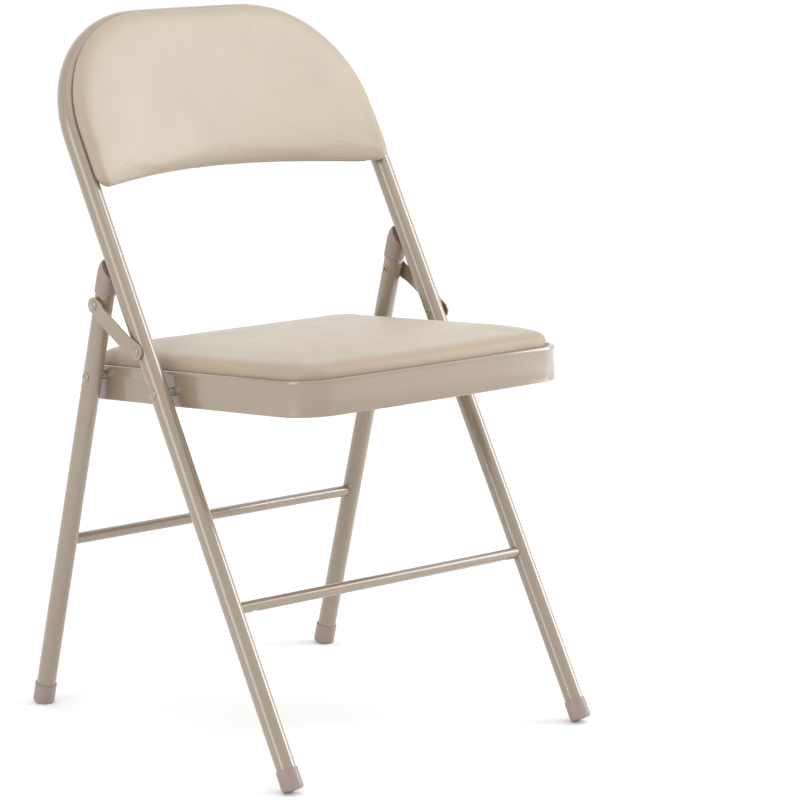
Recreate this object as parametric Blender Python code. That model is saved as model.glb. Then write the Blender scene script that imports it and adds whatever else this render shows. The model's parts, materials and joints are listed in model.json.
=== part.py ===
"""Padded steel folding chair, modelled open. Metres, +Z up, the sitter faces -Y, +X is the sitter's left.

The front frame is a bent U tube with the backrest in its arch. The seat pan hinges on it at the seat
pivots, the rear legs hinge on the seat pan at the leg pivots, and a flat link on each side joins the
front frame to the rear leg, so that all of them fold together.
"""
import math

import bmesh
import bpy
from mathutils import Vector

# ---------------------------------------------------------------- sizes (metres)
GAP = 0.0003                     # running or assembly gap between neighbouring pieces
SIDES = (("left", 1.0), ("right", -1.0))   # the sitter's left is +X

TUBE_R = 0.011                   # frame and leg tube, outer radius
TUBE_WALL = 0.0012
TUBE_SEGS = 24
FLAT_DEPTH = 0.0009              # how far a tube is pressed flat at each pivot
FLAT_HALF = 0.0095               # half length of the flat
FLAT_BLEND = 0.0045              # length over which the flat runs out

FRAME_TILT = math.radians(31.16)  # the front frame leans back by this much
FRAME_Y0 = -0.23557              # frame axis where it would meet the floor
FRAME_X0 = 0.2200                # half spacing of the frame legs at the floor
FRAME_TAPER = -0.004             # change of half spacing per metre of height
ARCH_U = 0.7630                  # along the frame axis, where the arch begins
ARCH_R = 0.1388                  # bend radius of the arch corners
ARCH_CROWN = 0.0004              # extra rise at the middle of the arch
ARCH_STEPS = 16
FRAME_END_U = 0.0115             # lower end of the frame tube, inside the foot cap

LEG_TILT = math.radians(-11.59)  # the rear legs lean forward going up
LEG_Y0 = 0.20107                 # leg axis where it would meet the floor
LEG_X0 = 0.2163
LEG_TAPER = 0.003
LEG_END_U = 0.0080
LEG_TOP_U = 0.5145

SEAT_PIVOT_Z = 0.39428           # pivot heights; each pivot lies on its tube's axis
LEG_PIVOT_Z = 0.39374
LINK_LOW_Z = 0.4375
LINK_HIGH_Z = 0.47757
SEAT_PIVOT = (FRAME_Y0 + SEAT_PIVOT_Z * math.tan(FRAME_TILT), SEAT_PIVOT_Z)   # (y, z), seat to front frame
LINK_LOW = (FRAME_Y0 + LINK_LOW_Z * math.tan(FRAME_TILT), LINK_LOW_Z)         # link to front frame
LEG_PIVOT = (LEG_Y0 + LEG_PIVOT_Z * math.tan(LEG_TILT), LEG_PIVOT_Z)          # seat to rear leg
LINK_HIGH = (LEG_Y0 + LINK_HIGH_Z * math.tan(LEG_TILT), LINK_HIGH_Z)          # link to rear leg

FRONT_BAR_Z = 0.1798
REAR_BAR_Z = 0.19875
BAR_R = 0.0066
BAR_WALL = 0.0010
BAR_SEGS = 16
BAR_INSET = 0.0030               # how far a bar end enters the tube wall
BAR_MARK = 0.0190                # press mark under the bar, from the tube surface
BAR_MARK_DEPTH = 0.0014

CAP_R = 0.0123                   # foot cap and top cap, outer radius
CAP_SLEEVE = 0.0215
CAP_DOME = 0.0022
CAP_SEGS = 20
FRONT_CAP_U = 0.0074             # start of the front cap's straight sleeve
REAR_CAP_U = 0.0033
TOP_CAP_LOW = 0.5015             # along the leg axis
TOP_CAP_HIGH = 0.5390

PAN_SLOPE = math.radians(6.07)   # the seat rises to the front
PAN_HALF = 0.2000
PAN_FRONT = 0.2150               # from the seat pivot, along the pan
PAN_BOW = 0.0045                 # extra reach at the middle of the front edge
PAN_REAR = 0.1550
PAN_FRONT_R = 0.043
PAN_REAR_R = 0.032
PAN_LOW = -0.0164                # lower edge of the wall, from the pivot, square to the pan
PAN_TOP = 0.0226                 # top of the rolled rim
PAN_SHEET = 0.0012
PAN_PLATE = 0.0196               # upper face of the seat plate
PAN_FLANGE = 0.0080
CUSHION_INSET = 0.0065
BOARD_INSET = 0.0220
BOARD_T = 0.0040

STRAP_HALF = 0.0092
STRAP_T = 0.0020
STRAP_X = 0.2304                 # inner face of the strap at its ends
STRAP_JOG = 0.0025
STRAP_FLAT = 0.0090
STRAP_RAMP = 0.0080

RIVET_R = 0.0025
RIVET_HOLE = 0.0028
RIVET_BORE = 0.0015              # blind hole in a rivet's tail
HEAD_R = 0.0055
HEAD_H = 0.0025
SPACER_R = 0.0048
RIVET_SEGS = 12
SCREW_SEGS = 10

PAD_HALF = 0.2175
PAD_TOP_U = 0.9018
PAD_CORNER = 0.1360
PAD_LOW_U = 0.6955               # lower edge at its corners
PAD_LOW_RISE = 0.0290            # how much higher the lower edge is at the middle
PAD_LOW_R = 0.0150
PAD_BACK = -0.0114               # back of the pad, from the tube axis, rearward positive
PAD_EDGE_T = 0.0070
PAD_T = 0.0135
BOW_RATE = 0.20                  # rearward bow of the backrest per unit of depth below BOW_TOP_U
BOW_TOP_U = 0.8883
BACK_BOARD = (-0.0104, -0.0074)  # front and back of the backing board
BACK_PANEL = (-0.0064, -0.0052)  # front and back of the steel panel
HEM_R = 0.0030
BACK_SCREW_X = 0.120
BACK_SCREW_U = (0.775, 0.855)

# ---------------------------------------------------------------- materials
PAINT = ("powder_coat", (0.44, 0.36, 0.285), 0.60, 0.32)
VINYL = ("vinyl", (0.66, 0.58, 0.47), 0.0, 0.45)
PLASTIC = ("cap_plastic", (0.38, 0.31, 0.275), 0.0, 0.50)
HARDBOARD = ("hardboard", (0.16, 0.095, 0.05), 0.0, 0.80)
PLATED = ("zinc_plate", (0.62, 0.60, 0.57), 1.0, 0.35)

# ---------------------------------------------------------------- directions
FRAME_UP = Vector((0.0, math.sin(FRAME_TILT), math.cos(FRAME_TILT)))
FRAME_BACK = Vector((0.0, math.cos(FRAME_TILT), -math.sin(FRAME_TILT)))
LEG_UP = Vector((0.0, math.sin(LEG_TILT), math.cos(LEG_TILT)))
LEG_BACK = Vector((0.0, math.cos(LEG_TILT), -math.sin(LEG_TILT)))
SEAT_FORE = Vector((0.0, -math.cos(PAN_SLOPE), math.sin(PAN_SLOPE)))
SEAT_UP = Vector((0.0, math.sin(PAN_SLOPE), math.cos(PAN_SLOPE)))
X = Vector((1.0, 0.0, 0.0))


def clear_scene():
    for obj in list(bpy.data.objects):
        bpy.data.objects.remove(obj, do_unlink=True)


def material(spec):
    name, colour, metallic, roughness = spec
    mat = bpy.data.materials.get(name)
    if mat is None:
        mat = bpy.data.materials.new(name)
        mat.use_nodes = True
        shader = mat.node_tree.nodes["Principled BSDF"]
        shader.inputs["Base Color"].default_value = (*colour, 1.0)
        shader.inputs["Metallic"].default_value = metallic
        shader.inputs["Roughness"].default_value = roughness
    return mat


def smooth(t):
    t = min(max(t, 0.0), 1.0)
    return t * t * (3.0 - 2.0 * t)


def add_object(name, verts, faces, spec, pivot=None):
    """Make a mesh object; its origin goes to pivot, a (y, z) pair, when it turns about one."""
    origin = Vector((0.0, pivot[0], pivot[1])) if pivot else Vector((0.0, 0.0, 0.0))
    mesh = bpy.data.meshes.new(name)
    mesh.from_pydata([v - origin for v in verts], [], faces)
    work = bmesh.new()
    work.from_mesh(mesh)
    bmesh.ops.recalc_face_normals(work, faces=work.faces)
    work.to_mesh(mesh)
    work.free()
    for poly in mesh.polygons:
        poly.use_smooth = True
    mesh.set_sharp_from_angle(angle=math.radians(32.0))
    mesh.materials.append(material(spec))
    obj = bpy.data.objects.new(name, mesh)
    obj.location = origin
    bpy.context.scene.collection.objects.link(obj)
    return obj


def loft(name, sections, spec, pivot=None):
    """Skin closed sections of equal length one after another and close both ends."""
    count = len(sections[0])
    verts = [p for section in sections for p in section]
    faces = [tuple(range(count))]
    for row in range(len(sections) - 1):
        for k in range(count):
            after = (k + 1) % count
            a = row * count
            faces.append((a + k, a + after, a + count + after, a + count + k))
    faces.append(tuple(reversed(range((len(sections) - 1) * count, len(sections) * count))))
    return add_object(name, verts, faces, spec, pivot)


def hollow(name, outer, inner, spec, pivot=None):
    """A pipe: an outer and an inner skin of equal sections, joined at both ends."""
    count = len(outer[0])
    rows = len(outer)
    verts = [p for section in outer for p in section] + [p for section in inner for p in section]
    shift = rows * count
    faces = []
    for base in (0, shift):
        for row in range(rows - 1):
            for k in range(count):
                after = (k + 1) % count
                a = base + row * count
                faces.append((a + k, a + after, a + count + after, a + count + k))
    for row in (0, rows - 1):
        for k in range(count):
            after = (k + 1) % count
            a = row * count
            faces.append((a + k, a + after, shift + a + after, shift + a + k))
    return add_object(name, verts, faces, spec, pivot)


def revolve(name, profile, centre, axis, segs, spec, pivot=None):
    """Turn a closed profile of (radius, height) about an axis; zero radius is allowed at its ends."""
    axis = axis.normalized()
    side = axis.cross(X)
    if side.length < 0.5:
        side = axis.cross(Vector((0.0, 0.0, 1.0)))
    side.normalize()
    other = axis.cross(side)
    verts = []
    rings = []
    for radius, height in profile:
        if radius <= 0.0:
            rings.append([len(verts)])
            verts.append(centre + axis * height)
            continue
        ring = []
        for k in range(segs):
            angle = 2.0 * math.pi * k / segs
            ring.append(len(verts))
            verts.append(centre + axis * height + (side * math.cos(angle) + other * math.sin(angle)) * radius)
        rings.append(ring)
    faces = []
    pairs = list(zip(rings[:-1], rings[1:]))
    if len(rings[0]) > 1:
        pairs.append((rings[-1], rings[0]))
    for low, high in pairs:
        for k in range(segs):
            after = (k + 1) % segs
            if len(low) == 1:
                faces.append((low[0], high[k], high[after]))
            elif len(high) == 1:
                faces.append((low[k], high[0], low[after]))
            else:
                faces.append((low[k], low[after], high[after], high[k]))
    return add_object(name, verts, faces, spec, pivot)


def cylinder_parts(rods):
    """Vertices and faces of several solid cylinders, each (start, end, radius, segments)."""
    verts = []
    faces = []
    for start, end, radius, segs in rods:
        axis = (end - start).normalized()
        side = axis.cross(Vector((0.0, 0.0, 1.0)))
        if side.length < 0.1:
            side = axis.cross(X)
        side.normalize()
        other = axis.cross(side)
        base = len(verts)
        for centre in (start, end):
            for k in range(segs):
                angle = 2.0 * math.pi * k / segs
                verts.append(centre + (side * math.cos(angle) + other * math.sin(angle)) * radius)
        faces.append(tuple(range(base, base + segs)))
        faces.append(tuple(reversed(range(base + segs, base + 2 * segs))))
        for k in range(segs):
            after = (k + 1) % segs
            faces.append((base + k, base + after, base + segs + after, base + segs + k))
    return verts, faces


def cut(obj, rods, label):
    """Subtract cylinders from obj with one hidden cutter."""
    verts, faces = cylinder_parts(rods)
    cutter = add_object(label, verts, faces, PAINT)
    cutter.hide_render = True
    cutter.display_type = "WIRE"
    boolean = obj.modifiers.new(label, "BOOLEAN")
    boolean.operation = "DIFFERENCE"
    boolean.solver = "EXACT"
    boolean.object = cutter
    return cutter


# ---------------------------------------------------------------- tube paths
def flat_amount(u, pivots):
    """How much a tube is pressed flat at axis distance u."""
    amount = 0.0
    for pivot_u in pivots:
        away = abs(u - pivot_u) - FLAT_HALF
        amount = max(amount, 1.0 - smooth(away / FLAT_BLEND))
    return amount * FLAT_DEPTH


def pivot_stations(pivot_u):
    reach = FLAT_HALF + FLAT_BLEND
    return [pivot_u - reach, pivot_u - FLAT_HALF, pivot_u + FLAT_HALF, pivot_u + reach]


def ring(centre, tangent, back, radius, flat):
    """One tube section; the first direction is square to the tube in the plane of the frame."""
    across = tangent.cross(back).normalized()
    points = []
    for k in range(TUBE_SEGS):
        angle = 2.0 * math.pi * k / TUBE_SEGS
        a = radius * math.cos(angle)
        a = min(max(a, -(radius - flat)), radius - flat)
        points.append(centre + across * a + back * (radius * math.sin(angle)))
    return points


def tube(name, path, back, flats, spec, pivot=None):
    """Sweep a round tube along path, a list of points; flats is the press depth at each point."""
    outer = []
    inner = []
    for i, point in enumerate(path):
        before = path[max(i - 1, 0)]
        after = path[min(i + 1, len(path) - 1)]
        tangent = (after - before).normalized()
        outer.append(ring(point, tangent, back, TUBE_R, flats[i]))
        inner.append(ring(point, tangent, back, TUBE_R - TUBE_WALL, flats[i]))
    return hollow(name, outer, inner, spec, pivot)


def frame_half(u):
    """Half spacing of the frame legs at axis distance u."""
    return FRAME_X0 + FRAME_TAPER * u * FRAME_UP.z


def frame_point(x, u, v=0.0):
    """A point in frame coordinates: across, up along the frame, and rearward of its axis plane."""
    return Vector((x, FRAME_Y0, 0.0)) + FRAME_UP * u + FRAME_BACK * v


def leg_half(u):
    return LEG_X0 + LEG_TAPER * u * LEG_UP.z


def leg_point(x, u, v=0.0):
    return Vector((x, LEG_Y0, 0.0)) + LEG_UP * u + LEG_BACK * v


def seat_point(x, fore, up):
    """A point in seat coordinates: across, forward of the seat pivot, and above it."""
    return Vector((x, SEAT_PIVOT[0], SEAT_PIVOT[1])) + SEAT_FORE * fore + SEAT_UP * up


def frame_u(z):
    return z / FRAME_UP.z


def leg_u(z):
    return z / LEG_UP.z


# ---------------------------------------------------------------- front frame
def build_front_frame():
    pivots = (frame_u(SEAT_PIVOT[1]), frame_u(LINK_LOW[1]))
    stations = [FRAME_END_U, frame_u(FRONT_BAR_Z) - 0.02, frame_u(FRONT_BAR_Z) + 0.02]
    for pivot_u in pivots:
        stations += pivot_stations(pivot_u)
    half = frame_half(ARCH_U)
    left = [(-frame_half(u), u) for u in stations]
    corner_x = half - ARCH_R
    for k in range(ARCH_STEPS + 1):
        angle = 0.5 * math.pi * k / ARCH_STEPS
        left.append((-corner_x - ARCH_R * math.cos(angle), ARCH_U + ARCH_R * math.sin(angle)))
    left.append((-0.5 * corner_x, ARCH_U + ARCH_R + 0.75 * ARCH_CROWN))
    middle = [(0.0, ARCH_U + ARCH_R + ARCH_CROWN)]
    line = left + middle + [(-x, u) for x, u in reversed(left)]
    path = [frame_point(x, u) for x, u in line]
    flats = [flat_amount(u, pivots) if u < ARCH_U - 0.1 else 0.0 for x, u in line]
    frame = tube("front_frame", path, FRAME_BACK, flats, PAINT)
    rods = []
    for label, side in SIDES:
        for y, z in (SEAT_PIVOT, LINK_LOW):
            x = frame_half(frame_u(z))
            rods.append((Vector((side * (x - 0.014), y, z)), Vector((side * (x + 0.014), y, z)), RIVET_HOLE, RIVET_SEGS))
        u = frame_u(FRONT_BAR_Z)
        x = frame_half(u)
        start = frame_point(side * (x - 0.016), u)
        end = frame_point(side * (x - TUBE_R + BAR_INSET + GAP), u)
        rods.append((start, end, BAR_R + GAP, BAR_SEGS))
    cut(frame, rods, "cut_front_frame")


def build_rear_legs():
    pivots = (leg_u(LEG_PIVOT[1]), leg_u(LINK_HIGH[1]))
    stations = [LEG_END_U, leg_u(REAR_BAR_Z) - 0.02, leg_u(REAR_BAR_Z) + 0.02]
    for pivot_u in pivots:
        stations += pivot_stations(pivot_u)
    stations.append(LEG_TOP_U)
    for label, side in SIDES:
        path = [leg_point(side * leg_half(u), u) for u in stations]
        flats = [flat_amount(u, pivots) for u in stations]
        leg = tube("rear_leg_" + label, path, LEG_BACK, flats, PAINT, LEG_PIVOT)
        rods = []
        for y, z in (LEG_PIVOT, LINK_HIGH):
            x = leg_half(leg_u(z))
            rods.append((Vector((side * (x - 0.014), y, z)), Vector((side * (x + 0.014), y, z)), RIVET_HOLE, RIVET_SEGS))
        u = leg_u(REAR_BAR_Z)
        x = leg_half(u)
        start = leg_point(side * (x - 0.016), u)
        end = leg_point(side * (x - TUBE_R + BAR_INSET + GAP), u)
        rods.append((start, end, BAR_R + GAP, BAR_SEGS))
        cut(leg, rods, "cut_rear_leg_" + label)


def build_crossbar(name, centre, up, back, half, pivot=None):
    """A bar between two legs, pressed slightly flat on its underside near each end."""
    reach = half - TUBE_R + BAR_INSET
    mark = half - TUBE_R - BAR_MARK
    stations = [reach, mark + 0.004, mark + 0.0015, mark - 0.0015, mark - 0.004]
    pressed = [0.0, 0.0, BAR_MARK_DEPTH, BAR_MARK_DEPTH, 0.0]
    stations = stations + [-s for s in reversed(stations)]
    pressed = pressed + list(reversed(pressed))
    outer = []
    inner = []
    for x, depth in zip(stations, pressed):
        for rings, radius in ((outer, BAR_R), (inner, BAR_R - BAR_WALL)):
            points = []
            for k in range(BAR_SEGS):
                angle = 2.0 * math.pi * k / BAR_SEGS
                height = max(radius * math.sin(angle), -(radius - depth))
                points.append(centre + X * x + back * (radius * math.cos(angle)) + up * height)
            rings.append(points)
    hollow(name, outer, inner, PAINT, pivot)


# ---------------------------------------------------------------- caps
def cut_flat(obj, normal, point):
    """Slice a body with a plane and close it, dropping what lies beyond the plane."""
    origin = obj.location
    work = bmesh.new()
    work.from_mesh(obj.data)
    geometry = work.verts[:] + work.edges[:] + work.faces[:]
    result = bmesh.ops.bisect_plane(
        work, geom=geometry, dist=1e-7, plane_co=point - origin, plane_no=normal, clear_outer=True)
    edges = [item for item in result["geom_cut"] if isinstance(item, bmesh.types.BMEdge)]
    bmesh.ops.holes_fill(work, edges=edges, sides=0)
    bmesh.ops.recalc_face_normals(work, faces=work.faces)
    work.to_mesh(obj.data)
    work.free()
    obj.data.set_sharp_from_angle(angle=math.radians(32.0))


def cap_profile(tube_end):
    """Foot cap, heights from where its straight sleeve starts; tube_end is the height of the tube's end."""
    bore = TUBE_R + GAP
    floor = tube_end - GAP
    return [
        (0.0, -CAP_DOME),
        (0.50 * CAP_R, -0.95 * CAP_DOME),
        (0.86 * CAP_R, -0.72 * CAP_DOME),
        (0.96 * CAP_R, -0.35 * CAP_DOME),
        (CAP_R, 0.0006),
        (CAP_R, CAP_SLEEVE - 0.0004),
        (CAP_R - 0.0004, CAP_SLEEVE),
        (bore, CAP_SLEEVE),
        (bore, floor),
        (0.0, floor),
    ]


def build_foot_caps():
    down = Vector((0.0, 0.0, -1.0))
    for label, side in SIDES:
        centre = frame_point(side * frame_half(FRAME_END_U), FRONT_CAP_U)
        cap = revolve("front_foot_cap_" + label, cap_profile(FRAME_END_U - FRONT_CAP_U), centre, FRAME_UP,
                      CAP_SEGS, PLASTIC)
        cut_flat(cap, down, Vector((0.0, 0.0, 0.0)))
        centre = leg_point(side * leg_half(LEG_END_U), REAR_CAP_U)
        cap = revolve("rear_foot_cap_" + label, cap_profile(LEG_END_U - REAR_CAP_U), centre, LEG_UP,
                      CAP_SEGS, PLASTIC, LEG_PIVOT)
        cut_flat(cap, down, Vector((0.0, 0.0, 0.0)))


def build_top_caps():
    """Plugs on the upper ends of the rear legs, sloped where they rest behind the front frame."""
    bore = TUBE_R + GAP
    height = TOP_CAP_HIGH - TOP_CAP_LOW
    end = LEG_TOP_U - TOP_CAP_LOW
    profile = [
        (0.0, end + GAP),
        (bore, end + GAP),
        (bore, 0.0),
        (CAP_R - 0.0003, 0.0),
        (CAP_R, 0.0003),
        (CAP_R, height - 0.0180),
        (0.97 * CAP_R, height - 0.0115),
        (0.88 * CAP_R, height - 0.0058),
        (0.72 * CAP_R, height - 0.0018),
        (0.55 * CAP_R, height),
        (0.0, height),
    ]
    for label, side in SIDES:
        centre = leg_point(side * leg_half(LEG_TOP_U), TOP_CAP_LOW)
        cap = revolve("rear_leg_top_cap_" + label, profile, centre, LEG_UP, CAP_SEGS, PLASTIC, LEG_PIVOT)
        stop = frame_point(0.0, 0.0, TUBE_R + GAP)
        cut_flat(cap, -FRAME_BACK, stop)


# ---------------------------------------------------------------- seat
def pan_outline(inset):
    """Outline of the pan moved inward by inset, as (across, forward) pairs, starting at the rear right."""
    half = PAN_HALF - inset
    front = PAN_FRONT - inset
    rear = PAN_REAR - inset
    front_r = max(PAN_FRONT_R - inset, 0.012)
    rear_r = max(PAN_REAR_R - inset, 0.012)
    points = []
    steps = 7
    for k in range(steps + 1):
        angle = 0.5 * math.pi * k / steps
        points.append((half - rear_r + rear_r * math.sin(angle), -rear + rear_r - rear_r * math.cos(angle)))
    for k in range(steps + 1):
        angle = 0.5 * math.pi * k / steps
        points.append((half - front_r + front_r * math.cos(angle), front - front_r + front_r * math.sin(angle)))
    for t in (0.5, 0.0):
        points.append((t * (half - front_r), front))
    mirrored = [(-x, y) for x, y in reversed(points[:-1])]
    points = points + mirrored
    bowed = []
    for x, fore in points:
        reach = smooth((fore + 0.05) / (front + 0.05))
        bowed.append((x, fore + PAN_BOW * reach * (1.0 - (x / half) ** 2)))
    return bowed


def pan_ring(inset, up):
    return [seat_point(x, fore, up) for x, fore in pan_outline(inset)]


def build_seat_pan():
    low = PAN_LOW
    top = PAN_TOP
    plate = PAN_PLATE
    sheet = PAN_SHEET
    profile = [
        (0.050, plate),
        (0.0056, plate),
        (0.0050, plate + 0.0010),
        (0.0042, top - 0.0006),
        (0.0028, top),
        (0.0010, top),
        (-0.0003, top - 0.0008),
        (-0.0009, top - 0.0026),
        (-0.0005, top - 0.0044),
        (0.0000, top - 0.0060),
        (0.0000, low + 0.0010),
        (0.0010, low),
        (PAN_FLANGE, low),
        (PAN_FLANGE, low + sheet),
        (sheet, low + sheet + 0.0004),
        (sheet, plate - 2.0 * sheet),
        (2.0 * sheet, plate - sheet),
        (0.050, plate - sheet),
    ]
    pan = loft("seat_pan", [pan_ring(inset, up) for inset, up in profile], PAINT, SEAT_PIVOT)
    rods = []
    for side in (1.0, -1.0):
        for y, z in (SEAT_PIVOT, LEG_PIVOT):
            rods.append((Vector((side * 0.190, y, z)), Vector((side * 0.206, y, z)), RIVET_HOLE, RIVET_SEGS))
    for x, fore in seat_screw_places():
        rods.append((seat_point(x, fore, 0.010), seat_point(x, fore, 0.030), 0.0024, SCREW_SEGS))
    cut(pan, rods, "cut_seat_pan")


def seat_screw_places():
    return [(side * 0.130, fore) for side in (1.0, -1.0) for fore in (0.150, -0.090)]


def build_seat_board():
    low = PAN_PLATE + GAP
    rings = []
    for inset, up in ((BOARD_INSET, low), (BOARD_INSET, low + BOARD_T)):
        rings.append(pan_ring(inset, up))
    board = loft("seat_board", rings, HARDBOARD, SEAT_PIVOT)
    rods = []
    for x, fore in seat_screw_places():
        rods.append((seat_point(x, fore, low - 0.005), seat_point(x, fore, low + BOARD_T + 0.005), 0.0024, SCREW_SEGS))
    cut(board, rods, "cut_seat_board")


def build_seat_cushion():
    low = PAN_PLATE + GAP
    pocket = BOARD_INSET - GAP - 0.0002
    base = CUSHION_INSET
    profile = [
        (0.060, low + BOARD_T + GAP),
        (pocket, low + BOARD_T + GAP),
        (pocket, low),
        (base + 0.0010, low),
        (base, low + 0.0012),
        (base - 0.0008, low + 0.0050),
        (base, low + 0.0100),
        (base + 0.0030, low + 0.0150),
        (base + 0.0085, low + 0.0188),
        (base + 0.0200, low + 0.0220),
        (base + 0.0420, low + 0.0250),
        (base + 0.0800, low + 0.0275),
        (base + 0.1150, low + 0.0285),
    ]
    loft("seat_cushion", [pan_ring(inset, up) for inset, up in profile], VINYL, SEAT_PIVOT)


def screw_profile(head_r, head_h, shank_r, length):
    """Pan-head screw, height 0 under the head, the shank along +height."""
    return [
        (0.0, -head_h),
        (0.55 * head_r, -0.92 * head_h),
        (0.90 * head_r, -0.55 * head_h),
        (head_r, 0.0),
        (shank_r, 0.0),
        (shank_r, length - 0.0008),
        (0.6 * shank_r, length),
        (0.0, length),
    ]


def build_seat_screws():
    under = PAN_PLATE - PAN_SHEET - 0.0001
    for number, (x, fore) in enumerate(seat_screw_places(), start=1):
        profile = screw_profile(0.0042, 0.0022, 0.0020, 0.0050)
        revolve(f"seat_screw_{number}", profile, seat_point(x, fore, under), SEAT_UP, SCREW_SEGS, PLATED, SEAT_PIVOT)


# ---------------------------------------------------------------- pivots
def dome(radius, height):
    """Domed rivet head, apex first."""
    return [(0.0, -height), (0.45 * radius, -0.90 * height), (0.80 * radius, -0.58 * height), (radius, -0.0004)]


def rivet_profile(tail, rolled_r):
    """Semi-tubular rivet: a domed head, a shank, and a tail rolled outward round a blind hole."""
    return dome(HEAD_R, HEAD_H) + [
        (HEAD_R, 0.0),
        (RIVET_R, 0.0),
        (RIVET_R, tail),
        (rolled_r, tail),
        (rolled_r, tail + 0.0006),
        (0.75 * rolled_r, tail + 0.0013),
        (RIVET_BORE, tail + 0.0009),
        (RIVET_BORE, tail - 0.0030),
        (0.0, tail - 0.0030),
    ]


def build_seat_pivots():
    """Rivets through tube, spacer and pan wall, with the spacers between tube and pan."""
    pan_in = PAN_HALF - PAN_SHEET
    places = (
        ("seat_pivot", SEAT_PIVOT, frame_half(frame_u(SEAT_PIVOT[1]))),
        ("leg_pivot", LEG_PIVOT, leg_half(leg_u(LEG_PIVOT[1]))),
    )
    for stem, (y, z), tube_x in places:
        face = tube_x + TUBE_R - FLAT_DEPTH + 0.0001
        tail = face - (pan_in - 0.0001)
        for label, side in SIDES:
            centre = Vector((side * face, y, z))
            profile = rivet_profile(tail, 0.0040)
            revolve(f"{stem}_rivet_{label}", profile, centre, X * -side, RIVET_SEGS, PAINT, (y, z))
            near = PAN_HALF + GAP
            far = tube_x - TUBE_R + FLAT_DEPTH - GAP
            ring_profile = [
                (RIVET_HOLE, 0.0), (SPACER_R, 0.0), (SPACER_R, far - near), (RIVET_HOLE, far - near)]
            revolve(f"{stem}_spacer_{label}", ring_profile, Vector((side * near, y, z)), X * side,
                    RIVET_SEGS, PLATED, (y, z))


def build_link_rivets():
    """Rivets of the links. The low one holds the link on the front frame; the high one belongs to the link."""
    outer = STRAP_X + STRAP_T + 0.0001
    for label, side in SIDES:
        y, z = LINK_LOW
        tube_x = frame_half(frame_u(z))
        tail = outer - (tube_x - TUBE_R + FLAT_DEPTH - 0.0001)
        profile = rivet_profile(tail, 0.0036)
        revolve(f"link_low_rivet_{label}", profile, Vector((side * outer, y, z)), X * -side,
                RIVET_SEGS, PAINT, LINK_LOW)
        y, z = LINK_HIGH
        profile = dome(HEAD_R, HEAD_H) + [
            (HEAD_R, 0.0),
            (RIVET_R, 0.0),
            (RIVET_R, STRAP_T),
            (0.0, STRAP_T),
        ]
        revolve(f"link_high_rivet_{label}", profile, Vector((side * outer, y, z)), X * -side,
                RIVET_SEGS, PAINT, LINK_LOW)
        tube_x = leg_half(leg_u(z))
        far = tube_x + TUBE_R - FLAT_DEPTH - 0.0008
        near = tube_x - TUBE_R + FLAT_DEPTH
        profile = [
            (RIVET_BORE, -0.0013),
            (0.0029, -0.0014),
            (0.0036, -0.0006),
            (0.0036, -0.0001),
            (RIVET_R, -0.0001),
            (RIVET_R, far - near),
            (RIVET_BORE, far - near),
        ]
        revolve(f"link_high_bush_{label}", profile, Vector((side * near, y, z)), X * side,
                RIVET_SEGS, PAINT, LEG_PIVOT)


def build_links():
    low = Vector((0.0, LINK_LOW[0], LINK_LOW[1]))
    high = Vector((0.0, LINK_HIGH[0], LINK_HIGH[1]))
    along = (high - low).normalized()
    length = (high - low).length
    across = along.cross(X)
    ends = []
    for angle in (8.0, 30.0, 52.0, 74.0, 90.0):
        rad = math.radians(angle)
        ends.append((-STRAP_HALF * math.cos(rad), STRAP_HALF * math.sin(rad)))
    stations = list(ends)
    stations.append((STRAP_FLAT, STRAP_HALF))
    stations.append((STRAP_FLAT + 0.5 * STRAP_RAMP, STRAP_HALF))
    stations.append((STRAP_FLAT + STRAP_RAMP, STRAP_HALF))
    stations += [(length - s, w) for s, w in reversed(stations)]
    for label, side in SIDES:
        sections = []
        for s, w in stations:
            from_end = min(s, length - s)
            jog = STRAP_JOG * smooth((from_end - STRAP_FLAT) / STRAP_RAMP)
            near = side * (STRAP_X + jog)
            far = side * (STRAP_X + STRAP_T + jog)
            base = low + along * s
            sections.append([
                base + X * near - across * w,
                base + X * near + across * w,
                base + X * far + across * w,
                base + X * far - across * w,
            ])
        link = loft("link_" + label, sections, PAINT, LINK_LOW)
        rods = []
        for y, z in (LINK_LOW, LINK_HIGH):
            start = Vector((side * (STRAP_X - 0.004), y, z))
            end = Vector((side * (STRAP_X + STRAP_T + 0.004), y, z))
            rods.append((start, end, RIVET_HOLE, RIVET_SEGS))
        cut(link, rods, "cut_link_" + label)


# ---------------------------------------------------------------- backrest
def opening_half(u):
    """Half width of the opening inside the frame tube at axis distance u."""
    half = frame_half(ARCH_U)
    if u <= ARCH_U:
        return half - TUBE_R
    rise = min(u - ARCH_U, ARCH_R - TUBE_R)
    return half - ARCH_R + math.sqrt((ARCH_R - TUBE_R) ** 2 - rise ** 2)


def bow(x, u):
    """Rearward bow of the backrest inside the frame opening, none at its top and its sides."""
    return BOW_RATE * max(BOW_TOP_U - u, 0.0) * max(1.0 - (x / opening_half(u)) ** 2, 0.0)


def back_limits(x, outline):
    """Lower and upper edge at x of an outline (half width, corner radius, corner height, lower edge)."""
    half, corner, corner_u, low_u = outline
    over = max(abs(x) - (half - corner), 0.0)
    top = corner_u + math.sqrt(max(corner ** 2 - over ** 2, 0.0))
    low = low_u + PAD_LOW_RISE * (1.0 - (x / PAD_HALF) ** 2)
    over = max(abs(x) - (half - PAD_LOW_R), 0.0)
    low += PAD_LOW_R - math.sqrt(max(PAD_LOW_R ** 2 - over ** 2, 0.0))
    return low, top


def pad_outline():
    return PAD_HALF, PAD_CORNER, PAD_TOP_U - PAD_CORNER, PAD_LOW_U


def opening_outline(inset, low_u):
    """Outline inside the opening of the frame tube, clear of it by inset."""
    return frame_half(ARCH_U) - TUBE_R - inset, ARCH_R - TUBE_R - inset, ARCH_U, low_u


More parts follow.
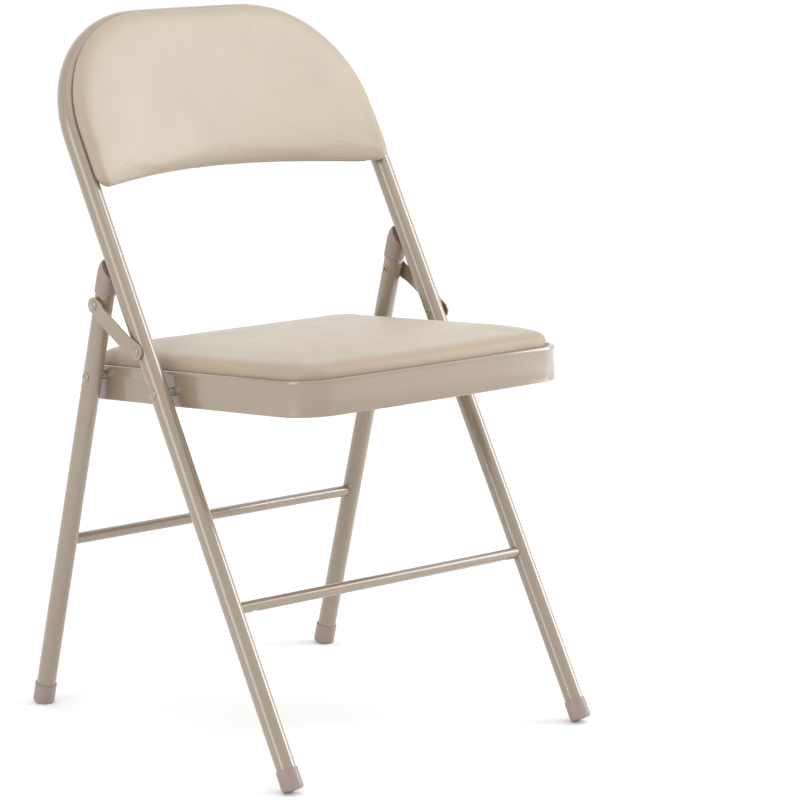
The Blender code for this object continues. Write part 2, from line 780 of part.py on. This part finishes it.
def back_columns(outline):
    marks = (0.0, 0.22, 0.42, 0.58, 0.71, 0.81, 0.89, 0.945, 0.98, 1.0)
    return [-outline[0] * m for m in reversed(marks)] + [outline[0] * m for m in marks[1:]]


def back_section(x, outline, rows, front, rear):
    """Closed section at x: up the front face, down the rear face."""
    low, top = back_limits(x, outline)
    up = [low + (top - low) * t for t in rows]
    points = [frame_point(x, u, front(x, u)) for u in up]
    points += [frame_point(x, u, rear(x, u)) for u in reversed(up)]
    return points


def pad_front(x, u):
    low, top = back_limits(x, pad_outline())
    edge = max(min(u - low, top - u, PAD_HALF - abs(x)), 0.0)
    thick = PAD_EDGE_T + (PAD_T - PAD_EDGE_T) * math.sqrt(smooth(edge / 0.020))
    return PAD_BACK + bow(x, u) - thick


def pad_rear(x, u):
    return PAD_BACK + bow(x, u)


def board_front(x, u):
    return BACK_BOARD[0] + bow(x, u)


def board_rear(x, u):
    return BACK_BOARD[1] + bow(x, u)


def build_backrest_pad():
    rows = (0.0, 0.03, 0.09, 0.22, 0.42, 0.62, 0.80, 0.92, 0.975, 1.0)
    outline = pad_outline()
    sections = [back_section(x, outline, rows, pad_front, pad_rear) for x in back_columns(outline)]
    loft("backrest_pad", sections, VINYL)


def build_backrest_board():
    rows = (0.0, 0.2, 0.4, 0.6, 0.8, 1.0)
    outline = opening_outline(0.0040, PAD_LOW_U + 0.0150)
    sections = [back_section(x, outline, rows, board_front, board_rear) for x in back_columns(outline)]
    board = loft("backrest_board", sections, HARDBOARD)
    cut(board, screw_rods(), "cut_backrest_board")


def build_backrest_panel():
    outline = opening_outline(0.0010, PAD_LOW_U + 0.0030)
    sections = [panel_section(x, outline) for x in back_columns(outline)]
    panel = loft("backrest_panel", sections, PAINT)
    cut(panel, screw_rods(), "cut_backrest_panel")


def build_backrest_screws():
    for number, (x, u) in enumerate(back_screw_places(), start=1):
        centre = frame_point(x, u, BACK_PANEL[1] + bow(x, u)) + surface_normal(x, u) * 0.0003
        profile = screw_profile(0.0042, 0.0022, 0.0019, 0.0048)
        revolve(f"backrest_screw_{number}", profile, centre, -surface_normal(x, u), SCREW_SEGS, PLATED)


def panel_section(x, outline):
    """Section of the steel panel at x, with its lower edge rolled rearward into a hem."""
    low, top = back_limits(x, outline)
    start = low + 2.0 * HEM_R
    rows = (0.0, 0.2, 0.4, 0.6, 0.8, 1.0)
    up = [start + (top - start) * t for t in rows]
    hem_bow = bow(x, low + HEM_R)
    points = [frame_point(x, low + HEM_R, BACK_PANEL[0] + hem_bow)]
    points += [frame_point(x, u, BACK_PANEL[0] + bow(x, u)) for u in up]
    points += [frame_point(x, u, BACK_PANEL[1] + bow(x, u)) for u in reversed(up[1:])]
    points.append(frame_point(x, start + 0.0008, BACK_PANEL[1] + bow(x, start)))
    for angle in (75.0, 30.0, -15.0, -60.0, -100.0, -140.0):
        rad = math.radians(angle)
        rise = HEM_R * (1.0 + math.sin(rad))
        points.append(frame_point(x, low + rise, BACK_PANEL[0] + hem_bow + HEM_R * (1.0 + math.cos(rad))))
    return points


def surface_normal(x, u):
    """Rearward normal of the bowed backrest."""
    step = 0.001
    across = frame_point(x + step, u, bow(x + step, u)) - frame_point(x - step, u, bow(x - step, u))
    along = frame_point(x, u + step, bow(x, u + step)) - frame_point(x, u - step, bow(x, u - step))
    normal = across.cross(along).normalized()
    return normal if normal.dot(FRAME_BACK) > 0.0 else -normal


def back_screw_places():
    return [(side * BACK_SCREW_X, u) for side in (1.0, -1.0) for u in BACK_SCREW_U]


def screw_rods():
    rods = []
    for x, u in back_screw_places():
        centre = frame_point(x, u, BACK_PANEL[1] + bow(x, u))
        normal = surface_normal(x, u)
        rods.append((centre - normal * 0.0070, centre + normal * 0.0040, 0.0023, SCREW_SEGS))
    return rods


# ---------------------------------------------------------------- build
def main():
    clear_scene()
    build_front_frame()
    build_rear_legs()
    front_u = frame_u(FRONT_BAR_Z)
    build_crossbar("front_crossbar", frame_point(0.0, front_u), FRAME_UP, FRAME_BACK, frame_half(front_u))
    rear_u = leg_u(REAR_BAR_Z)
    build_crossbar("rear_crossbar", leg_point(0.0, rear_u), LEG_UP, LEG_BACK, leg_half(rear_u), LEG_PIVOT)
    build_foot_caps()
    build_top_caps()
    build_seat_pan()
    build_seat_board()
    build_seat_cushion()
    build_seat_screws()
    build_seat_pivots()
    build_link_rivets()
    build_links()
    build_backrest_pad()
    build_backrest_board()
    build_backrest_panel()
    build_backrest_screws()


main()
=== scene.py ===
"""Looks of the padded steel folding chair: materials, upholstery, studio light and camera."""
import json
import math

import bmesh
import bpy
from mathutils import Matrix, Vector


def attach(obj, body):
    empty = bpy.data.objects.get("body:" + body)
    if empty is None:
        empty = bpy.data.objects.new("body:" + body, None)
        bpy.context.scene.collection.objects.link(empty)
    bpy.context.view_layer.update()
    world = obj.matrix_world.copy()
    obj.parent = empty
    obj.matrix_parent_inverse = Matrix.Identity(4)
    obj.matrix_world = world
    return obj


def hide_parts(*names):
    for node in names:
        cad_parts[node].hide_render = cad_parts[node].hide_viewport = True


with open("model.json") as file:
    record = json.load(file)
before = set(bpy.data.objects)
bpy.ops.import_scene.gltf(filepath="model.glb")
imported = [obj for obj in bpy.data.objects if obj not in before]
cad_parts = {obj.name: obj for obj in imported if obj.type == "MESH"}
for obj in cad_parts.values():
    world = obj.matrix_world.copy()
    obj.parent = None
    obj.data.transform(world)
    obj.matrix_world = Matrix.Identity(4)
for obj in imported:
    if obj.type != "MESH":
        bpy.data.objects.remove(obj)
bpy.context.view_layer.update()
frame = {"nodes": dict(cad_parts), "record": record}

# ---------------------------------------------------------------- camera (metres, the part's frame)
CAMERA_PLACE = Vector((-2.8103, -3.0861, 1.2287))
CAMERA_RIGHT = Vector((0.72719, -0.68564, 0.03311))
CAMERA_UP = Vector((0.11544, 0.16971, 0.97871))
SENSOR_MM = 36.0
LENS_MM = 170.29
CLIP_NEAR = 0.1
CLIP_FAR = 50.0

# ---------------------------------------------------------------- colours (linear, darker and lighter)
PAINT_TONES = ((0.243, 0.184, 0.130), (0.254, 0.193, 0.137))
VINYL_TONES = ((0.393, 0.340, 0.270), (0.437, 0.381, 0.305))
# painted shade: a darker, warmer tint on the covers' sides, where they catch less light than their
# tops
VINYL_SIDE_SHADE = (0.83, 0.75, 0.69)
PLASTIC_TONES = ((0.262, 0.199, 0.174), (0.284, 0.218, 0.192))
PLATED_TONES = ((0.54, 0.52, 0.49), (0.66, 0.645, 0.61))
BOARD_TONES = ((0.115, 0.066, 0.034), (0.215, 0.130, 0.070))
FLOOR_TONES = ((0.915, 0.915, 0.915), (0.92, 0.92, 0.92))

# ---------------------------------------------------------------- edges of the CAD nodes
WELD_REACH = 0.00001
LINK_BEVEL = 0.0005
LINK_BEVEL_ANGLE = math.radians(50.0)
SPLIT_ANGLE = math.radians(32.0)

# ---------------------------------------------------------------- the cushion's place and outline
X = Vector((1.0, 0.0, 0.0))
SEAT_SLOPE = math.radians(6.07)
SEAT_PIVOT = Vector((0.0, 0.00284, 0.39428))
SEAT_FORE = Vector((0.0, -math.cos(SEAT_SLOPE), math.sin(SEAT_SLOPE)))
SEAT_OUT = Vector((0.0, math.sin(SEAT_SLOPE), math.cos(SEAT_SLOPE)))
CUSHION_LOW = 0.0200             # underside of the cushion, above the seat pivot
CUSHION_HALF = 0.1937
CUSHION_FRONT = 0.2085
CUSHION_REAR = 0.1485
CUSHION_BOW = 0.0042             # how far the front edge bows forward in its middle
CUSHION_FRONT_R = 0.040
CUSHION_REAR_R = 0.027
CUSHION_EDGE_STEPS = 24
CUSHION_CORNER_STEPS = 12

# ---------------------------------------------------------------- the pad's place and outline
BACK_TILT = math.radians(31.16)
FRAME_FOOT = Vector((0.0, -0.23557, 0.0))
FRAME_UP = Vector((0.0, math.sin(BACK_TILT), math.cos(BACK_TILT)))
BACK_OUT = Vector((0.0, -math.cos(BACK_TILT), math.sin(BACK_TILT)))
PAD_HALF = 0.2175
PAD_TOP_U = 0.9050               # a name ending in _U is a place along the frame's axis
PAD_CORNER = 0.1385
PAD_LOW_U = 0.6955
PAD_LOW_RISE = 0.0290            # how far the lower edge rises in its middle
PAD_LOW_R = 0.0150
PAD_LOW_STEPS = 48
PAD_LOW_CORNER_STEPS = 8
PAD_TOP_CORNER_STEPS = 28
PAD_BACK = -0.0114               # back of the pad, from the tube axis, rearward positive
BOW_RATE = 0.20                  # rearward bow of the pad, for each metre below BOW_TOP_U
BOW_TOP_U = 0.8883
OPENING_HALF = 0.2064            # opening inside the frame tube
OPENING_U = 0.7630
OPENING_R = 0.1278
OPENING_R_SHARE = 0.98           # the bow stops narrowing at this share of the opening's radius

# ---------------------------------------------------------------- covers: (inset, height) round the
# rim from the back's edge to the front, then (share of the way to the centre, height)
BACK_SHARES = (0.80, 0.50, 0.20)   # rings of the flat back, as shares of the way to the centre
SEAT_RIM = (
    (0.0012, 0.0000), (0.0004, 0.0008), (0.0000, 0.0022), (-0.0003, 0.0050), (0.0002, 0.0080),
    (0.0010, 0.0112), (0.0029, 0.0140), (0.0061, 0.0165), (0.0110, 0.0187), (0.0180, 0.0206),
)
SEAT_MIDDLE = (
    (0.07, 0.0225), (0.15, 0.0243), (0.25, 0.0258), (0.36, 0.0272), (0.48, 0.0283),
    (0.60, 0.0290), (0.72, 0.0295), (0.83, 0.0298), (0.92, 0.0299),
)
BACK_RIM = (
    (0.0030, 0.0000), (0.0012, 0.0003), (0.0003, 0.0014), (0.0000, 0.0032), (0.0004, 0.0056),
    (0.0018, 0.0078), (0.0042, 0.0096), (0.0076, 0.0110), (0.0120, 0.0120),
)
BACK_MIDDLE = (
    (0.07, 0.0128), (0.15, 0.0134), (0.25, 0.0137), (0.37, 0.0138), (0.50, 0.0138),
    (0.63, 0.0138), (0.76, 0.0138), (0.88, 0.0138),
)
SEAT_RING_POINTS = 220
BACK_RING_POINTS = 260
SEAT_SIDE_SHADE = 1.0                # strength of the painted shade that darkens the cushion's sides round the rim
# the same painted shade, weaker, on the backrest pad's sides
BACK_SIDE_SHADE = 0.6
SIDE_SHADE_EDGE = 0.004                 # the painted shade is full this far in from the edge
SIDE_SHADE_FADE = 0.016                 # and is gone this much further in
RIM_REACH = 0.15                 # what the whole way to the centre counts for as a distance

# ---------------------------------------------------------------- cloth
PRESSURE = 4.0
SIM_FRAMES = 20
HELD_ROWS = 3                    # the back and the first rows of the rim stay where they are
SEAT_SWELL = (0.0006, 0.0030)    # furthest a cover swells at its rim and at its middle
BACK_SWELL = (0.0003, 0.0018)

# ---------------------------------------------------------------- studio
WORLD_STRENGTH = 1.12
FLOOR_REACH = 30.0
AREA_LIGHTS = (                  # name, place, target, width and height, watts
    ("left box", (-3.0, -0.4, 1.4), (0, 0, 0.45), (1.2, 2.6), 21.0),
    ("right box", (2.7, -1.4, 1.4), (0, 0, 0.45), (1.2, 2.6), 52.0),
    ("overhead", (0.4, -0.8, 3.0), (0, 0, 0), (2.6, 2.6), 12.0),
)


def make_camera():
    data = bpy.data.cameras.new("camera")
    data.sensor_width = SENSOR_MM
    data.lens = LENS_MM
    data.clip_start = CLIP_NEAR
    data.clip_end = CLIP_FAR
    camera = bpy.data.objects.new("camera", data)
    bpy.context.scene.collection.objects.link(camera)
    right = CAMERA_RIGHT.normalized()
    back = right.cross(CAMERA_UP).normalized()
    up = back.cross(right)
    camera.matrix_world = Matrix((
        (right.x, up.x, back.x, CAMERA_PLACE.x),
        (right.y, up.y, back.y, CAMERA_PLACE.y),
        (right.z, up.z, back.z, CAMERA_PLACE.z),
        (0.0, 0.0, 0.0, 1.0),
    ))
    bpy.context.scene.camera = camera


# ---------------------------------------------------------------- materials
class Nodes:
    """Short calls for building one material's node tree."""

    def __init__(self, name, roughness, metallic=0.0):
        self.mat = bpy.data.materials.new(name)
        self.mat.use_nodes = True
        self.tree = self.mat.node_tree
        self.shader = self.tree.nodes["Principled BSDF"]
        self.shader.inputs["Roughness"].default_value = roughness
        self.shader.inputs["Metallic"].default_value = metallic
        self.place = self.tree.nodes.new("ShaderNodeTexCoord").outputs["Object"]

    def set(self, **sockets):
        for name, value in sockets.items():
            self.shader.inputs[name.replace("_", " ")].default_value = value

    def link(self, out, socket):
        self.tree.links.new(out, socket)

    def feed(self, out, name):
        """Link out to the shader's own socket of that name."""
        self.link(out, self.shader.inputs[name])

    def stretched(self, scale):
        node = self.tree.nodes.new("ShaderNodeMapping")
        node.inputs["Scale"].default_value = scale
        self.link(self.place, node.inputs["Vector"])
        return node.outputs["Vector"]

    def noise(self, scale, detail=2.0, vector=None, distortion=0.0):
        node = self.tree.nodes.new("ShaderNodeTexNoise")
        node.inputs["Scale"].default_value = scale
        node.inputs["Detail"].default_value = detail
        node.inputs["Distortion"].default_value = distortion
        self.link(vector or self.place, node.inputs["Vector"])
        return node.outputs["Fac"]

    def cells(self, scale):
        """Distance from the nearest border between leather cells."""
        node = self.tree.nodes.new("ShaderNodeTexVoronoi")
        node.feature = "DISTANCE_TO_EDGE"
        node.inputs["Scale"].default_value = scale
        self.link(self.place, node.inputs["Vector"])
        return node.outputs["Distance"]

    def spread(self, fac, low, high, to_low=0.0, to_high=1.0):
        node = self.tree.nodes.new("ShaderNodeMapRange")
        node.inputs["From Min"].default_value = low
        node.inputs["From Max"].default_value = high
        node.inputs["To Min"].default_value = to_low
        node.inputs["To Max"].default_value = to_high
        self.link(fac, node.inputs["Value"])
        return node.outputs["Result"]

    def sum(self, a, b, weight):
        """a and b times weight."""
        node = self.tree.nodes.new("ShaderNodeMath")
        node.operation = "MULTIPLY_ADD"
        node.inputs[1].default_value = weight
        self.link(b, node.inputs[0])
        self.link(a, node.inputs[2])
        return node.outputs["Value"]

    def colours(self, fac, dark, light):
        node = self.tree.nodes.new("ShaderNodeMix")
        node.data_type = "RGBA"
        sockets = [s for s in node.inputs if s.type == "RGBA"]
        sockets[0].default_value = (*dark, 1.0)
        sockets[1].default_value = (*light, 1.0)
        self.link(fac, node.inputs[0])
        return [s for s in node.outputs if s.type == "RGBA"][0]

    def attribute(self, name):
        node = self.tree.nodes.new("ShaderNodeAttribute")
        node.attribute_name = name
        return node.outputs["Fac"]

    def tinted(self, colour, fac, tint):
        """Multiply colour by tint where fac is 1."""
        node = self.tree.nodes.new("ShaderNodeMix")
        node.data_type = "RGBA"
        node.blend_type = "MULTIPLY"
        sockets = [s for s in node.inputs if s.type == "RGBA"]
        self.link(colour, sockets[0])
        sockets[1].default_value = (*tint, 1.0)
        self.link(fac, node.inputs[0])
        return [s for s in node.outputs if s.type == "RGBA"][0]

    def bump(self, height, distance, strength, under=None):
        node = self.tree.nodes.new("ShaderNodeBump")
        node.inputs["Distance"].default_value = distance
        node.inputs["Strength"].default_value = strength
        self.link(height, node.inputs["Height"])
        if under:
            self.link(under, node.inputs["Normal"])
        return node.outputs["Normal"]


def make_paint():
    """Semi-gloss baked enamel with a faint orange peel."""
    n = Nodes("paint", roughness=0.22)
    n.set(Specular_IOR_Level=0.9, Coat_Weight=0.8, Coat_Roughness=0.10)
    drift = n.spread(n.noise(9.0, detail=3.0), 0.35, 0.65)
    n.feed(n.colours(drift, *PAINT_TONES), "Base Color")
    n.feed(n.spread(n.noise(30.0), 0.3, 0.7, to_low=0.20, to_high=0.25), "Roughness")
    n.feed(n.bump(n.noise(420.0, detail=1.0), distance=0.00002, strength=0.06), "Normal")
    return n.mat


def make_vinyl():
    """Fine-grained upholstery vinyl: small leather cells with pressed lines between them."""
    n = Nodes("vinyl_cover", roughness=0.45)
    n.set(Specular_IOR_Level=0.45, Sheen_Weight=0.08, Sheen_Roughness=0.5)
    cells = n.spread(n.cells(620.0), 0.0, 0.16)
    fine = n.noise(1900.0)
    drift = n.spread(n.noise(7.0, detail=4.0), 0.32, 0.68)
    mottled = n.sum(drift, cells, weight=0.35)
    face = n.colours(n.spread(mottled, 0.0, 1.35), *VINYL_TONES)
    # painted shade: the rim attribute darkens the sides of the cover round its rim
    n.feed(n.tinted(face, n.attribute("rim"), VINYL_SIDE_SHADE), "Base Color")
    n.feed(n.spread(n.noise(35.0, detail=4.0), 0.3, 0.7, to_low=0.40, to_high=0.50), "Roughness")
    broad = n.bump(n.noise(28.0, detail=3.0), distance=0.0006, strength=0.18)
    grain = n.sum(cells, fine, weight=0.5)
    n.feed(n.bump(grain, distance=0.00012, strength=0.42, under=broad), "Normal")
    return n.mat


def make_plastic():
    """Satin moulded plastic of the feet and plugs, a little rubbed."""
    n = Nodes("cap_moulding", roughness=0.36)
    n.set(Specular_IOR_Level=0.55)
    rubbed = n.spread(n.noise(70.0, detail=4.0), 0.35, 0.7)
    n.feed(n.colours(rubbed, *PLASTIC_TONES), "Base Color")
    n.feed(n.spread(n.noise(160.0, detail=3.0), 0.3, 0.7, to_low=0.31, to_high=0.43), "Roughness")
    n.feed(n.bump(n.noise(1300.0), distance=0.00004, strength=0.4), "Normal")
    return n.mat


def make_plated():
    """Bright zinc plate with fine drawn lines."""
    n = Nodes("plated_steel", roughness=0.3, metallic=1.0)
    lines = n.noise(400.0, vector=n.stretched((1.0, 6.0, 6.0)))
    n.feed(n.colours(lines, *PLATED_TONES), "Base Color")
    n.feed(n.spread(lines, 0.3, 0.7, to_low=0.24, to_high=0.40), "Roughness")
    return n.mat


def make_board():
    """Pressed brown fibre board."""
    n = Nodes("board", roughness=0.85)
    fibres = n.noise(900.0, detail=5.0, vector=n.stretched((1.0, 0.35, 1.0)), distortion=0.6)
    n.feed(n.colours(n.spread(fibres, 0.3, 0.7), *BOARD_TONES), "Base Color")
    n.feed(n.bump(fibres, distance=0.0002, strength=0.5), "Normal")
    return n.mat


def make_floor():
    """Matt white studio floor."""
    n = Nodes("floor", roughness=0.9)
    n.feed(n.colours(n.noise(40.0), *FLOOR_TONES), "Base Color")
    n.set(Specular_IOR_Level=0.1)
    return n.mat


BY_SLOT = {
    "powder_coat": make_paint(),
    "vinyl": make_vinyl(),
    "cap_plastic": make_plastic(),
    "zinc_plate": make_plated(),
    "hardboard": make_board(),
}


def is_stamped(node):
    """Whether a node is one of the flat side links, and not a rivet or bush of theirs."""
    return node.startswith("link_") and "rivet" not in node and "bush" not in node


def dress_cad_nodes():
    """Give every CAD node its material and smooth normals, with the links' edges softly broken."""
    for row in frame["record"]["subparts"]:
        obj = frame["nodes"][row["node"]]
        mesh = obj.data
        for k in range(len(mesh.materials)):
            mesh.materials[k] = BY_SLOT[row["material_slot"]]
        mesh.attributes.remove(mesh.attributes["custom_normal"])
        for poly in mesh.polygons:
            poly.use_smooth = True
        weld = obj.modifiers.new("weld", "WELD")
        weld.merge_threshold = WELD_REACH
        if is_stamped(row["node"]):
            bevel = obj.modifiers.new("broken edge", "BEVEL")
            bevel.width = LINK_BEVEL
            bevel.segments = 2
            bevel.limit_method = "ANGLE"
            bevel.angle_limit = LINK_BEVEL_ANGLE
            bevel.harden_normals = True
        else:
            split = obj.modifiers.new("split", "EDGE_SPLIT")
            split.split_angle = SPLIT_ANGLE


# ---------------------------------------------------------------- upholstery
def smooth(t):
    """0 to 1 with soft ends, for t from 0 to 1."""
    t = min(max(t, 0.0), 1.0)
    return t * t * (3.0 - 2.0 * t)


def corner(centre, radius, start, steps):
    """Points of a quarter circle, counter-clockwise from start degrees."""
    points = []
    for k in range(steps + 1):
        angle = math.radians(start + 90.0 * k / steps)
        points.append((centre[0] + radius * math.cos(angle), centre[1] + radius * math.sin(angle)))
    return points


def resample(points, count):
    """Evenly spaced points round a closed outline, with the outward direction at each."""
    closed = points + [points[0]]
    lengths = [math.dist(a, b) for a, b in zip(closed[:-1], closed[1:])]
    total = sum(lengths)
    result = []
    edge = 0
    passed = 0.0
    for k in range(count):
        want = total * k / count
        while passed + lengths[edge] < want:
            passed += lengths[edge]
            edge += 1
        t = (want - passed) / lengths[edge]
        a, b = closed[edge], closed[edge + 1]
        result.append((a[0] + (b[0] - a[0]) * t, a[1] + (b[1] - a[1]) * t))
    outward = []
    for k in range(count):
        a, b = result[k - 1], result[(k + 1) % count]
        length = math.dist(a, b)
        outward.append(((b[1] - a[1]) / length, -(b[0] - a[0]) / length))
    return list(zip(result, outward))


def seat_outline():
    """Outline of the cushion: across, and forward of the seat pivot."""
    half = CUSHION_HALF
    rear_r = CUSHION_REAR_R
    front_r = CUSHION_FRONT_R
    reach = half - front_r
    points = []
    for k in range(1, CUSHION_EDGE_STEPS):
        x = -half + rear_r + (2.0 * half - 2.0 * rear_r) * k / CUSHION_EDGE_STEPS
        points.append((x, -CUSHION_REAR))
    rear = -CUSHION_REAR + rear_r
    front = CUSHION_FRONT - front_r
    points += corner((half - rear_r, rear), rear_r, -90.0, CUSHION_CORNER_STEPS)
    points += corner((half - front_r, front), front_r, 0.0, CUSHION_CORNER_STEPS)
    for k in range(1, CUSHION_EDGE_STEPS):
        x = reach * (1.0 - 2.0 * k / CUSHION_EDGE_STEPS)
        points.append((x, CUSHION_FRONT + CUSHION_BOW * (1.0 - (x / reach) ** 2)))
    points += corner((-half + front_r, front), front_r, 90.0, CUSHION_CORNER_STEPS)
    points += corner((-half + rear_r, rear), rear_r, 180.0, CUSHION_CORNER_STEPS)
    return points


def back_outline():
    """Outline of the backrest pad: across, and along the frame's axis."""
    half = PAD_HALF
    low_r = PAD_LOW_R
    centre_u = PAD_TOP_U - PAD_CORNER
    points = []
    for k in range(PAD_LOW_STEPS + 1):
        x = (half - low_r) * (2.0 * k / PAD_LOW_STEPS - 1.0)
        points.append((x, PAD_LOW_U + PAD_LOW_RISE * (1.0 - (x / half) ** 2)))
    rise = points[-1][1]
    points += corner((half - low_r, rise + low_r), low_r, -90.0, PAD_LOW_CORNER_STEPS)[1:]
    points += corner((half - PAD_CORNER, centre_u), PAD_CORNER, 0.0, PAD_TOP_CORNER_STEPS)
    points += corner((-half + PAD_CORNER, centre_u), PAD_CORNER, 90.0, PAD_TOP_CORNER_STEPS)
    points += corner((-half + low_r, rise + low_r), low_r, 180.0, PAD_LOW_CORNER_STEPS)[:-1]
    return points


def seat_place(x, fore, up):
    return SEAT_PIVOT + X * x + SEAT_FORE * fore + SEAT_OUT * (CUSHION_LOW + up)


def back_place(x, u, up):
    """A point of the pad: it bows rearward inside the frame opening, and up is its thickness."""
    half = OPENING_HALF
    over = max(u - OPENING_U, 0.0)
    if over > 0.0:
        radius = OPENING_R
        drop = min(over, OPENING_R_SHARE * radius)
        half += math.sqrt(max(radius ** 2 - drop ** 2, 0.0)) - radius
    bow = BOW_RATE * max(BOW_TOP_U - u, 0.0) * max(1.0 - (x / half) ** 2, 0.0)
    return FRAME_FOOT + X * x + FRAME_UP * u - BACK_OUT * (PAD_BACK + bow) + BACK_OUT * up


def skin(name, outline, count, rim, middle, place, side_shade):
    """Closed cushion mesh from rings of an outline, flat at height 0 on its back.

    rim and middle are profiles as listed above, and the last argument is how strongly painted shade
    darkens the sides round the rim.
    Returns the object and the row of every vertex: -1 on the back, then 0 and up along rim and
    middle.
    """
    points = resample(outline, count)
    centre = (0.0, sum(p[1] for p, n in points) / count)
    verts = []
    rows = []
    painted_side_shade = []
    back_inset = rim[0][0]
    plan = [(back_inset, share, 0.0, -1) for share in BACK_SHARES]
    plan += [(inset, 0.0, height, k) for k, (inset, height) in enumerate(rim)]
    front_inset = rim[-1][0]
    plan += [(front_inset, share, height, len(rim) + k) for k, (share, height) in enumerate(middle)]
    for inset, share, height, row in plan:
        depth = inset + share * RIM_REACH
        for (px, py), (nx, ny) in points:
            x = px - nx * inset
            y = py - ny * inset
            x += (centre[0] - x) * share
            y += (centre[1] - y) * share
            verts.append(place(x, y, height))
            rows.append(row)
            # painted shade on the sides: full near the edge, fading away further in
            painted_side_shade.append(side_shade * (1.0 - smooth((depth - SIDE_SHADE_EDGE) / SIDE_SHADE_FADE)))
    faces = []
    for ring in range(len(plan) - 1):
        for k in range(count):
            after = (k + 1) % count
            a = ring * count
            b = a + count
            faces.append((a + k, a + after, b + after, b + k))
    last = len(plan) - 1
    for ring, height, row in ((0, 0.0, -1), (last, middle[-1][1], len(rim) + len(middle))):
        tip = len(verts)
        verts.append(place(centre[0], centre[1], height))
        rows.append(row)
        painted_side_shade.append(0.0)
        base = ring * count
        for k in range(count):
            here = base + k
            after = base + (k + 1) % count
            faces.append((after, here, tip) if ring == 0 else (here, after, tip))
    mesh = bpy.data.meshes.new(name)
    mesh.from_pydata(verts, [], faces)
    work = bmesh.new()
    work.from_mesh(mesh)
    bmesh.ops.recalc_face_normals(work, faces=work.faces)
    work.to_mesh(mesh)
    work.free()
    for poly in mesh.polygons:
        poly.use_smooth = True
    # the rim attribute carries the painted shade of the sides
    mesh.attributes.new("rim", "FLOAT", "POINT").data.foreach_set("value", painted_side_shade)
    obj = bpy.data.objects.new(name, mesh)
    bpy.context.scene.collection.objects.link(obj)
    return obj, rows


def inflate(obj, held):
    """Where the cloth solver moves a cover blown up from inside; held vertices stay in place."""
    group = obj.vertex_groups.new(name="held")
    group.add(held, 1.0, "REPLACE")
    cloth = obj.modifiers.new("cloth", "CLOTH")
    settings = cloth.settings
    settings.quality = 6
    settings.mass = 0.3
    settings.tension_stiffness = 15.0
    settings.compression_stiffness = 15.0
    settings.bending_stiffness = 2.0
    settings.use_pressure = True
    settings.uniform_pressure_force = PRESSURE
    settings.vertex_group_mass = "held"
    settings.effector_weights.gravity = 0.0
    cloth.point_cache.frame_start = 1
    cloth.point_cache.frame_end = SIM_FRAMES
    for number in range(1, SIM_FRAMES + 1):
        bpy.context.scene.frame_set(number)
    graph = bpy.context.evaluated_depsgraph_get()
    moved = [v.co.copy() for v in obj.evaluated_get(graph).data.vertices]
    obj.modifiers.clear()
    obj.vertex_groups.clear()
    bpy.context.scene.frame_set(1)
    return moved


def cover(obj, rows, node, body, swell):
    """Inflate a cover by no more than swell allows, and put it in its node's place."""
    mesh = obj.data
    rim_swell, middle_swell = swell
    moved = inflate(obj, [i for i, row in enumerate(rows) if row < HELD_ROWS])
    last = max(rows)
    for v, new, row in zip(mesh.vertices, moved, rows):
        inward = max(row - HELD_ROWS, 0) / (last - HELD_ROWS)
        cap = rim_swell + (middle_swell - rim_swell) * inward
        step = new - v.co
        if step.length > cap:
            step *= cap / step.length
        v.co = v.co + step
    mesh.update()
    subdivision = obj.modifiers.new("subdivision", "SUBSURF")
    subdivision.levels = 1
    subdivision.render_levels = 1
    mesh.materials.append(BY_SLOT["vinyl"])
    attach(obj, body)
    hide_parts(node)


# ---------------------------------------------------------------- studio
def area_light(name, place, target, size, power):
    data = bpy.data.lights.new(name, "AREA")
    data.shape = "RECTANGLE"
    data.size, data.size_y = size
    data.energy = power
    light = bpy.data.objects.new(name, data)
    light.location = place
    aim = Vector(target) - Vector(place)
    light.rotation_euler = aim.to_track_quat("-Z", "Y").to_euler()
    bpy.context.scene.collection.objects.link(light)


def make_studio():
    world = bpy.data.worlds.new("studio")
    world.use_nodes = True
    background = world.node_tree.nodes["Background"]
    background.inputs["Color"].default_value = (1.0, 1.0, 1.0, 1.0)
    background.inputs["Strength"].default_value = WORLD_STRENGTH
    bpy.context.scene.world = world
    bpy.context.scene.view_settings.view_transform = "Standard"
    mesh = bpy.data.meshes.new("floor")
    ways = ((-1, -1), (1, -1), (1, 1), (-1, 1))
    corners = [(x * FLOOR_REACH, y * FLOOR_REACH, 0) for x, y in ways]
    mesh.from_pydata(corners, [], [(0, 1, 2, 3)])
    floor = bpy.data.objects.new("floor", mesh)
    floor.data.materials.append(make_floor())
    bpy.context.scene.collection.objects.link(floor)
    for row in AREA_LIGHTS:
        area_light(*row)


make_camera()
dress_cad_nodes()
seat_cover, seat_rows = skin("seat_cushion_cover", seat_outline(), SEAT_RING_POINTS,
                             SEAT_RIM, SEAT_MIDDLE, seat_place, SEAT_SIDE_SHADE)
cover(seat_cover, seat_rows, "seat_cushion", "seat", SEAT_SWELL)
back_cover, back_rows = skin("backrest_cover", back_outline(), BACK_RING_POINTS,
                             BACK_RIM, BACK_MIDDLE, back_place, BACK_SIDE_SHADE)
cover(back_cover, back_rows, "backrest_pad", "front_frame", BACK_SWELL)
make_studio()
